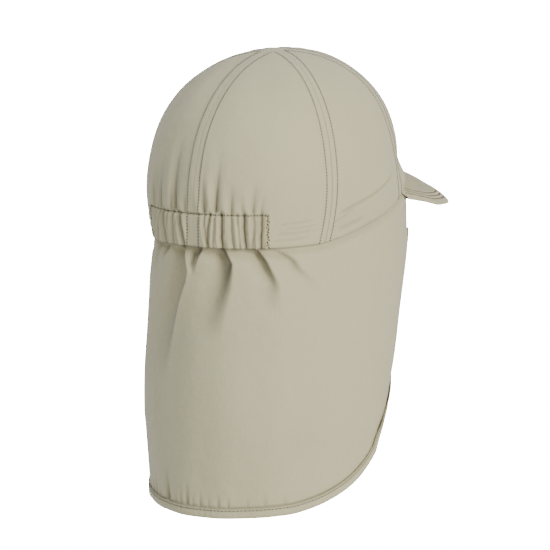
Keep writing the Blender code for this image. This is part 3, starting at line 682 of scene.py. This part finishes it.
# Each fold by its crest: millimetres below the rim, then the crest's turn, over how many
# degrees it rounds off, how many its steep left side takes, how softly the cloth comes back
# and how many millimetres deep it goes
FLAP_FOLDS = (
    {"below": (0, 2, 10, 18, 24.4, 29.9, 38.9, 47.9, 58.3, 68.8, 92),
     "crest": (-6.6, -6.4, -5.2, -4.0, -5.0, -6.8, -9.5, -11.5, -13.5, -15, -17.5),
     "soft": (0.6, 0.6, 0.6, 0.7, 0.7, 0.8, 0.9, 1.2, 2, 3, 5),
     "steep": (3.6, 3.8, 4.2, 4.6, 4.8, 5, 5.4, 6, 7, 9, 10),
     "far": (4, 5, 6, 7, 8, 9, 10, 11, 12, 12, 12),
     "depth": (3.6, 4.6, 5.0, 4.9, 4.7, 4.4, 4.0, 3.4, 2.5, 1.6, 0)},
    {"below": (0, 1.5, 6.5, 11, 15, 19), "crest": (5.5, 5, 3, 1.6, 0.4, 0),
     "soft": (0.6, 0.6, 0.8, 1, 1, 1), "steep": (5.5, 5.5, 4.6, 3.4, 2, 1.5),
     "far": (1.6, 1.6, 1.5, 1.3, 1.2, 1.2), "depth": (2.4, 3.2, 3.6, 3.0, 1.2, 0)},
    {"below": (0, 0.3, 5.3, 10.7, 15.8, 22, 27, 38, 48, 64),
     "crest": (17, 17, 19, 20.5, 20.2, 19.5, 19, 17, 15, 13),
     "soft": (0.6, 0.6, 0.6, 0.9, 3, 4, 5, 6, 6, 6),
     "steep": (5, 5, 5.5, 5.5, 6, 6.5, 7, 8, 9, 9),
     "far": (5, 5, 6, 7, 7, 8, 8, 9, 10, 10),
     "depth": (3.2, 3.6, 4.4, 4.6, 4.2, 3.6, 3.1, 2.2, 1.4, 0)},
    {"below": (0, 0.5, 6, 15, 20, 24.5, 32, 44),
     "crest": (33, 33.5, 36, 38.5, 40, 41.3, 41.5, 41.5),
     "soft": (0.7, 0.7, 1, 1.5, 2, 3, 4, 5),
     "steep": (3.5, 3.5, 3.6, 4, 4, 4.4, 6, 7), "far": (5, 5, 5, 6, 6, 7, 8, 8),
     "depth": (2.8, 3.4, 4.0, 3.5, 2.8, 2.0, 1.0, 0)},
    {"below": (0, 1, 4.5, 9, 14.6, 21.7, 34), "crest": (41.5, 42, 46.5, 50, 52, 57, 64),
     "soft": (1, 1, 1.5, 2, 3, 3, 3),
     "steep": (2.5, 2.5, 3, 3, 3.5, 4, 5), "far": (3, 3, 4, 4, 5, 6, 6),
     "depth": (0.6, 1.1, 2.0, 2.0, 1.4, 0.7, 0)},
    {"below": (0, 3, 8, 14, 24), "crest": (-27, -27, -28, -30, -33),
     "soft": (0.6, 0.6, 0.8, 1.5, 2),
     "steep": (3.5, 3.6, 3.4, 3.6, 5), "far": (5, 5, 4, 4, 5), "depth": (3.6, 4.8, 4.4, 1.8, 0)},
    {"below": (0, 3.7, 8, 13), "crest": (-20.5, -19.5, -21.5, -23), "soft": (0.6, 0.6, 1, 1),
     "steep": (1.8, 2, 2, 2), "far": (1.6, 1.6, 1.6, 1.6), "depth": (1.4, 2.2, 1.6, 0)},
    {"below": (0, 8, 20, 34, 50), "crest": (-40, -41, -44, -48, -52), "soft": (1, 1, 2, 3, 3),
     "steep": (3, 3.4, 4, 5, 6), "far": (5, 6, 6, 7, 8), "depth": (2.4, 3.0, 2.2, 1.0, 0)},
)
# Puckers that the binding's stitching leaves in the flap, just above it
HEM_PUCKERS = {
    "turn": (-31, -26.5, -19, -12.5, -9, -5, -1.5, 2.5, 7, 12, 17, 26, 34, 43, -36, -42, -49),
    "half_width": (1.2, 1.2, 1.5, 1.0, 1.0, 1.2, 0.8, 0.9, 0.8, 1.0, 0.9, 1.1, 1.2, 1.3, 1.4, 1.4, 1.4),
    "depth_mm": (2.0, 1.1, 2.8, 0.9, 1.0, 1.8, 0.8, 1.2, 0.7, 1.2, 1.0, 0.6, 0.8, 0.7, 1.3, 1.0, 0.9),
    "run_mm": (20, 14, 26, 10, 12, 18, 9, 11, 8, 11, 9, 8, 10, 9, 16, 13, 11),
}


def flap_column(column):
    """(rim turn, edge turn, edge height) of a column: 0 at the centre back, 1 at the end of
    the casing and 2 at the temple."""
    side = np.where(column < 0, -1.0, 1.0)
    column = np.abs(column)
    across = np.clip(column - 1.0, 0.0, 1.0)
    casing = 36.0 * np.minimum(column, 1.0)
    rim_turn = np.where(column <= 1.0, casing, read(FLAP_EDGE, "rim_turn", across))
    edge_turn = np.where(column <= 1.0, casing, read(FLAP_EDGE, "edge_turn", across))
    level_part = 1.0 - 0.010 * np.minimum(column, 1.0) ** 2
    drop = np.where(column <= 1.0, level_part, read(FLAP_EDGE, "drop", across))
    return side * rim_turn, side * edge_turn, -FLAP_DROP * drop


def flap_folds(turn, below, above_edge):
    """How far the flap's gathers and puckers press it inwards, in metres, and how much they
    keep the light out, from 0 to 1."""
    depth = 0.0007 * ripple(turn, below, 26.0, 0.16, 11) * eased(below / 0.03)
    under_casing = eased((44.0 - np.abs(turn)) / 8.0)
    # A painted shadow line just below the rim, wider under the casing, where the crown's edge overhangs the
    # flap
    shade = (0.50 + 0.25 * under_casing) * np.exp(-below / (0.0007 + 0.0011 * under_casing))
    at = 1000.0 * below
    for fold in FLAP_FOLDS:
        crest, soft, steep, far, press = (
            np.interp(at, fold["below"], fold[name])
            for name in ("crest", "soft", "steep", "far", "depth"))
        left_of_crest = crest - turn
        falling = np.clip(left_of_crest / steep, 0.0, 1.0)
        falling = between(falling, eased(falling), np.clip(0.3 + soft / 4.0, 0.0, 1.0))
        returning = np.exp(-((np.maximum(0.0, left_of_crest - steep) / far) ** 2))
        lip = 0.22 * np.exp(-np.abs(left_of_crest) / 2.5)
        depth = depth + 0.0013 * press * (falling * returning - lip)
        # Painted shade on each fold's steep left side, which faces away from the light
        dim = eased((left_of_crest + 0.4 * soft) / (0.2 + 1.2 * soft))
        dim = dim * np.exp(-(np.maximum(0.0, left_of_crest - 0.5 * soft) / (0.85 * steep)) ** 1.3)
        shade = shade + np.clip(press / 4.2, 0.0, 1.0) ** 1.2 * dim
    for turn_at, width, press, run in zip(*(HEM_PUCKERS[c] for c in HEM_PUCKERS)):
        fade = np.clip(1.0 - (above_edge - 0.0068) / (0.001 * run), 0.0, 1.0) ** 1.5
        fade = fade * eased((above_edge - 0.0058) / 0.0030)
        depth = depth + 0.001 * press * pressed(turn, turn_at, width) * fade
        # Painted shade in each pucker
        shade = shade + 0.30 * press * pressed(turn, turn_at + 0.25 * width, 0.8 * width) * fade
    # A painted shade line along the binding's upper edge
    shade = shade + 0.45 * np.exp(-(((above_edge - 0.0068) / 0.0006) ** 2))
    return depth, np.clip(shade, 0.0, 0.92)


def column_run(column):
    """How long a column of the flap is from its sewn edge to its free edge, in metres."""
    rim_turn, edge_turn, edge_height = flap_column(column)
    return np.hypot(rim_height(rim_turn) + FLAP_TUCK - edge_height, 0.0014 * (edge_turn - rim_turn))


def flap_face(column, level, depth=0.0):
    """Points of the flap, level running from its sewn edge to its free edge."""
    column, level = np.broadcast_arrays(np.asarray(column, float), np.asarray(level, float))
    rim_turn, edge_turn, edge_height = flap_column(column)
    turn = between(rim_turn, edge_turn, level)
    height = between(rim_height(rim_turn) + FLAP_TUCK, edge_height, level)
    drop = -height / FLAP_DROP
    width = FLAP_HALF_WIDTH * between(read(FLAP_SECTIONS, "back_width", drop),
                                      read(FLAP_SECTIONS, "front_width", drop), side_share(turn))
    hung = plan(turn, width, FLAP_BACK_REACH * read(FLAP_SECTIONS, "back_reach", drop),
                FLAP_FRONT_REACH * read(FLAP_SECTIONS, "front_reach", drop))
    below = rim_height(turn) - height
    sewn_level = np.maximum(0.0, -below) / (CROWN_HEIGHT - rim_height(turn))
    clear = eased((below + 0.002) / 0.005)
    at_back = eased((52.0 - np.abs(turn)) / 10.0)
    tucked = CROWN_CLOTH + 0.0004 + (0.0003 + 0.0011 * at_back) * clear
    sewn = crown_face(turn, sewn_level, tucked, 1.0 - clear)
    sewn[..., 2] = 0.0
    point = between(sewn, hung, eased((below - 0.001) / (0.005 + 0.004 * at_back))[..., None])
    front = eased((np.abs(column) - 1.55) / 0.15)
    to_edge = (1.0 - level) * column_run(column)
    curl = FRONT_CURL * front * np.maximum(0.0, 1.0 - to_edge / 0.022) ** 2
    inward = point.copy()
    inward[..., 2] = 0.0
    inward /= np.linalg.norm(inward, axis=-1, keepdims=True)
    gathers, shade = flap_folds(turn, np.maximum(below, 0.0), height - edge_height)
    point = point - inward * (gathers * eased(below / 0.005) + curl + depth)[..., None]
    point[..., 2] = height
    return point, shade


side_columns = np.concatenate((np.linspace(1.0, 1.12, 32)[1:], np.linspace(1.12, 2.0, 74)[1:]))
columns = np.concatenate((-side_columns[::-1], np.linspace(-1.0, 1.0, 200), side_columns))
levels = np.concatenate((np.linspace(0.0, 0.04, 7)[:-1], np.linspace(0.04, 0.35, 44)[:-1],
                         np.linspace(0.35, 0.86, 34)[:-1], np.linspace(0.86, 1.0, 26)))
grid_column, grid_level = np.meshgrid(columns, levels[::-1])
flap_points, flap_shade = flap_face(grid_column, grid_level)
# The same nylon as the crown, loose and softly crinkled
flap_nylon = woven_cloth("plain-woven nylon, flap", "#C0B994", "#B5AD86", 0.9, 0.78)
flap = finished("neck_flap_cloth", cloth_mesh("neck_flap_cloth", flap_points, {"in_shade": flap_shade}),
                flap_nylon, FLAP_CLOTH)
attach(flap, "root")
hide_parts("neck_flap")

# The binding is a strip of the same nylon, folded in half over the flap's free edge and
# stitched down through all its layers, 2 mm in from its own upper edge.

BINDING_WIDTH = 0.0068
BINDING_STAND = 0.0007
rim_columns = np.linspace(-1.985, 1.985, 900)
edge = flap_face(rim_columns, 1.0)[0]
inner = flap_face(rim_columns, 1.0 - 0.0066 / column_run(rim_columns))[0]
along = np.gradient(edge, axis=0)
along /= np.linalg.norm(along, axis=-1, keepdims=True)
upward = inner - edge
upward -= along * np.sum(upward * along, -1, keepdims=True)
upward /= np.linalg.norm(upward, axis=-1, keepdims=True)
outward = np.cross(upward, along)
face_side = np.sign(np.sum(outward * edge * (1, 1, 0), -1, keepdims=True))
outward *= np.where(np.abs(rim_columns)[:, None] < 1.2, face_side, np.sign(np.median(face_side)))
tape = {
    "in": (0.0062, 0.0066, 0.0068, 0.0066, 0.0056, 0.0048, 0.0040, 0.0024, 0.0008, -0.0004,
           -0.0009, -0.0004, 0.0010, 0.0030, 0.0050, 0.0064, 0.0066),
    "out": (0.0001, 0.0002, 0.0006, 0.0010, 0.0011, 0.0007, 0.0011, 0.0014, 0.0014, 0.0009,
            -0.0002, -0.0013, -0.0018, -0.0018, -0.0016, -0.0013, -0.0006),
}
swell = 1.0 + 0.08 * ripple(np.arange(900.0), 0.0, 24.0, 1.0, 21)[:, None]
rings = []
for inwards, stand in zip(tape["in"], tape["out"]):
    rings.append(edge + upward * inwards + outward * (stand * swell))
binding_points = np.stack(rings[::-1])
binding_nylon = woven_cloth("plain-woven nylon, binding", "#C0B994", "#B5AD86", 0.9, 0.78)
# Painted shade in the stitch row's dent and along the tape's upper edge, where it meets the flap
tape_shade = np.interp(np.array(tape["in"][::-1]), (0.0036, 0.0044, 0.0048, 0.0052, 0.0060, 0.0066),
                       (0.0, 0.05, 0.35, 0.05, 0.0, 0.55))
binding_shade = np.repeat(tape_shade[:, None], len(rim_columns), 1)
binding = finished(
    "flap_binding_tape",
    cloth_mesh("flap_binding_tape", binding_points, {"in_shade": binding_shade}), binding_nylon)
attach(binding, "root")
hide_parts("flap_binding")
hem_row = [edge + upward * 0.0048 + outward * 0.0009]
sew("binding_stitches", hem_row, 0.0017, 0.00045, thread, pitch=0.0026, start=0.5)
sew("binding_needle_holes", hem_row, 0.0009, 0.0007, needle_hole, pitch=0.0026)

# The studio: a plain pale floor well below the flap, white surroundings and soft light from
# large panels. The camera stands behind the wearer's right shoulder, a little above.

floor_mesh = bpy.data.meshes.new("pale_floor")
floor_mesh.from_pydata([(-9, -9, -0.32), (9, -9, -0.32), (9, 9, -0.32), (-9, 9, -0.32)], [], [(0, 1, 2, 3)])
pale_paint = bpy.data.materials.new("matt pale paint")
pale_paint.use_nodes = True
pale_shader = pale_paint.node_tree.nodes["Principled BSDF"]
pale_shader.inputs["Base Color"].default_value = linear("#F4F3F0")
pale_shader.inputs["Roughness"].default_value = 0.9
pale_shader.inputs["Specular IOR Level"].default_value = 0.1
# The camera sees the floor as brightly lit as a photographer's table, which glows from below
seen_white = add(pale_paint.node_tree, "ShaderNodeEmission",
                 {"Color": linear("#FFFFFF"), "Strength": 30.0})
seen = add(pale_paint.node_tree, "ShaderNodeMixShader", None,
           {0: add(pale_paint.node_tree, "ShaderNodeLightPath").outputs["Is Camera Ray"],
            1: pale_shader.outputs[0], 2: seen_white.outputs[0]})
pale_paint.node_tree.links.new(
    seen.outputs[0], pale_paint.node_tree.nodes["Material Output"].inputs["Surface"])
floor = finished("pale_floor", floor_mesh, pale_paint)

surroundings = bpy.data.worlds.new("white surroundings")
surroundings.use_nodes = True
surround_tree = surroundings.node_tree
surround_tree.nodes["Background"].inputs["Color"].default_value = linear("#FFFFFF")
# Dim as light on the cloth, but as white as the floor where the camera sees past its edge
brightness = add(surround_tree, "ShaderNodeMath", {"operation": "MULTIPLY_ADD", 1: 29.68, 2: 0.32},
                 {0: add(surround_tree, "ShaderNodeLightPath").outputs["Is Camera Ray"]})
surround_tree.links.new(
    brightness.outputs[0], surround_tree.nodes["Background"].inputs["Strength"])
bpy.context.scene.world = surroundings

CAMERA_TURN = math.radians(32.7)
backward = np.array((-math.sin(CAMERA_TURN), math.cos(CAMERA_TURN), 0.0))
sideways = np.array((-math.cos(CAMERA_TURN), -math.sin(CAMERA_TURN), 0.0))
camera_place = backward * 2.3804 + np.array((0.0, 0.0, 0.33974))
camera_aim = sideways * 0.00059 + np.array((0.0, 0.0, -0.03215))


def look_at(thing, place, aim):
    thing.location = Vector(place)
    thing.rotation_euler = Vector(np.asarray(aim) - place).to_track_quat("-Z", "Y").to_euler()


camera_data = bpy.data.cameras.new("camera")
camera_data.sensor_width = 36.0
camera_data.lens = 230.55
camera = bpy.data.objects.new("camera", camera_data)
look_at(camera, camera_place, camera_aim)
bpy.context.scene.collection.objects.link(camera)
bpy.context.scene.camera = camera

LIGHTS = {
    "name": ("key_panel", "left_panel", "top_panel"),
    "toward_camera": (1.7, 0.9, 0.2),
    "to_right": (1.5, -1.5, 0.2),
    "up": (0.8, 2.2, 2.2),
    "size": (1.0, 1.2, 1.4),
    "watts": (61.0, 34.0, 16.0),
    "colour": ("#FFFFFF", "#D9E6FF", "#FFFFFF"),
}
for name, back, right, up, size, watts, colour in zip(*(LIGHTS[c] for c in LIGHTS)):
    light_data = bpy.data.lights.new(name, "AREA")
    light_data.color = linear(colour)[:3]
    light_data.shape = "SQUARE"
    light_data.size = size
    light_data.energy = watts
    light = bpy.data.objects.new(name, light_data)
    look_at(light, backward * back + sideways * right + np.array((0.0, 0.0, up)), (0.0, 0.0, 0.0))
    bpy.context.scene.collection.objects.link(light)
